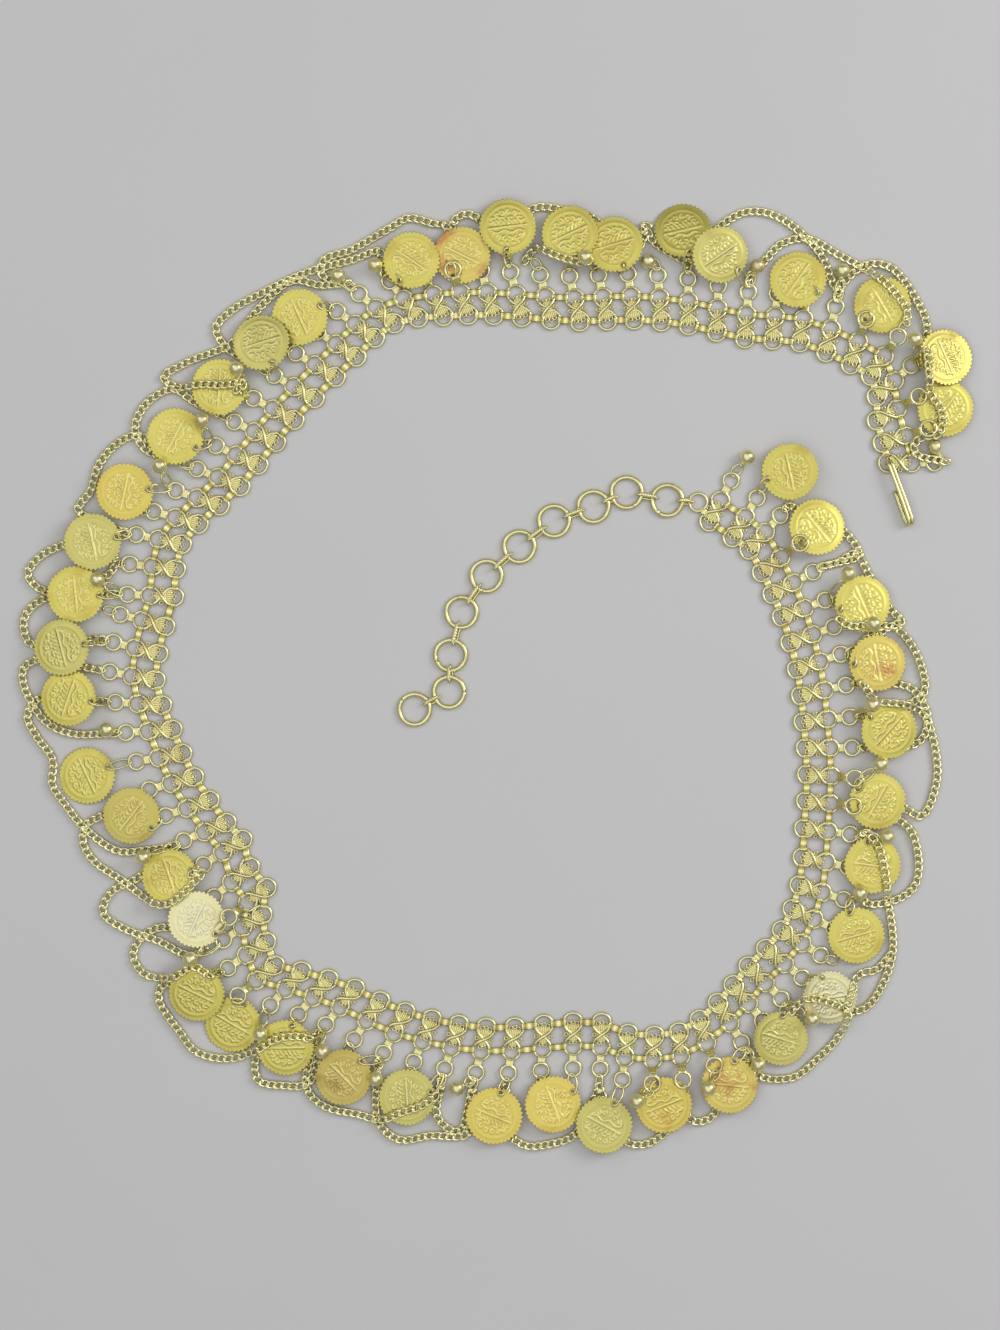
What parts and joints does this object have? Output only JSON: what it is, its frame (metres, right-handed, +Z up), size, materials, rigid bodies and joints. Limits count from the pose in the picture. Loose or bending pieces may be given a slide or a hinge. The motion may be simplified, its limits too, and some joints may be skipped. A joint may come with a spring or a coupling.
{
  "type": "coin chain belt",
  "caption": "Ring-net hip belt laid flat in a loop, with scalloped coin pendants, curb-chain swags, small balls, an extension chain and a wire hook.",
  "frame": {"origin": "middle of the belt's box on the surface it lies on", "axes": "+Z up from the surface; +X to the right and +Y away along the surface, with the hook end at +X +Y and the waist inside the loop"},
  "size_m": [0.305, 0.3046, 0.0086],
  "materials": {
    "gilt_brass": "bright gilt brass with darker tarnish in the hollows",
    "chain_brass": "polished fine curb chain",
    "coin_gilt": "thin stamped coin, pale gilt with greenish and coppery wear",
    "wire_brass": "drawn wire, gilt"
  },
  "bodies": {
    "belt": {"net_1": "gilt_brass", "net_2": "gilt_brass", "net_3": "gilt_brass", "swags_1": "chain_brass", "swags_2": "chain_brass", "coin_01": "coin_gilt", "coin_02": "coin_gilt", "coin_03": "coin_gilt", "coin_04": "coin_gilt", "coin_05": "coin_gilt", "coin_06": "coin_gilt", "coin_07": "coin_gilt", "coin_08": "coin_gilt", "coin_09": "coin_gilt", "coin_10": "coin_gilt", "coin_11": "coin_gilt", "coin_12": "coin_gilt", "coin_13": "coin_gilt", "coin_14": "coin_gilt", "coin_15": "coin_gilt", "coin_16": "coin_gilt", "coin_17": "coin_gilt", "coin_18": "coin_gilt", "coin_19": "coin_gilt", "coin_20": "coin_gilt", "coin_21": "coin_gilt", "coin_22": "coin_gilt", "coin_23": "coin_gilt", "coin_24": "coin_gilt", "coin_25": "coin_gilt", "coin_26": "coin_gilt", "coin_27": "coin_gilt", "coin_28": "coin_gilt", "coin_29": "coin_gilt", "coin_30": "coin_gilt", "coin_31": "coin_gilt", "coin_32": "coin_gilt", "coin_33": "coin_gilt", "coin_34": "coin_gilt", "coin_35": "coin_gilt", "coin_36": "coin_gilt", "coin_37": "coin_gilt", "coin_38": "coin_gilt", "coin_39": "coin_gilt", "coin_40": "coin_gilt", "coin_41": "coin_gilt", "coin_42": "coin_gilt", "coin_43": "coin_gilt", "coin_44": "coin_gilt", "extension_ring_01": "gilt_brass", "extension_ring_02": "gilt_brass", "extension_ring_03": "gilt_brass", "extension_ring_04": "gilt_brass", "extension_ring_05": "gilt_brass", "extension_ring_06": "gilt_brass", "extension_ring_07": "gilt_brass", "extension_ring_08": "gilt_brass", "extension_ring_09": "gilt_brass", "extension_ring_10": "gilt_brass"},
    "hook": {"hook": "wire_brass"}
  },
  "joints": [
    {"name": "hook_swing", "type": "hinge", "parent": "belt", "child": "hook", "pos_m": [0.1253, 0.0682, 0], "axis": [0, 0, 1], "range_deg": [-35, 35]}
  ]
}
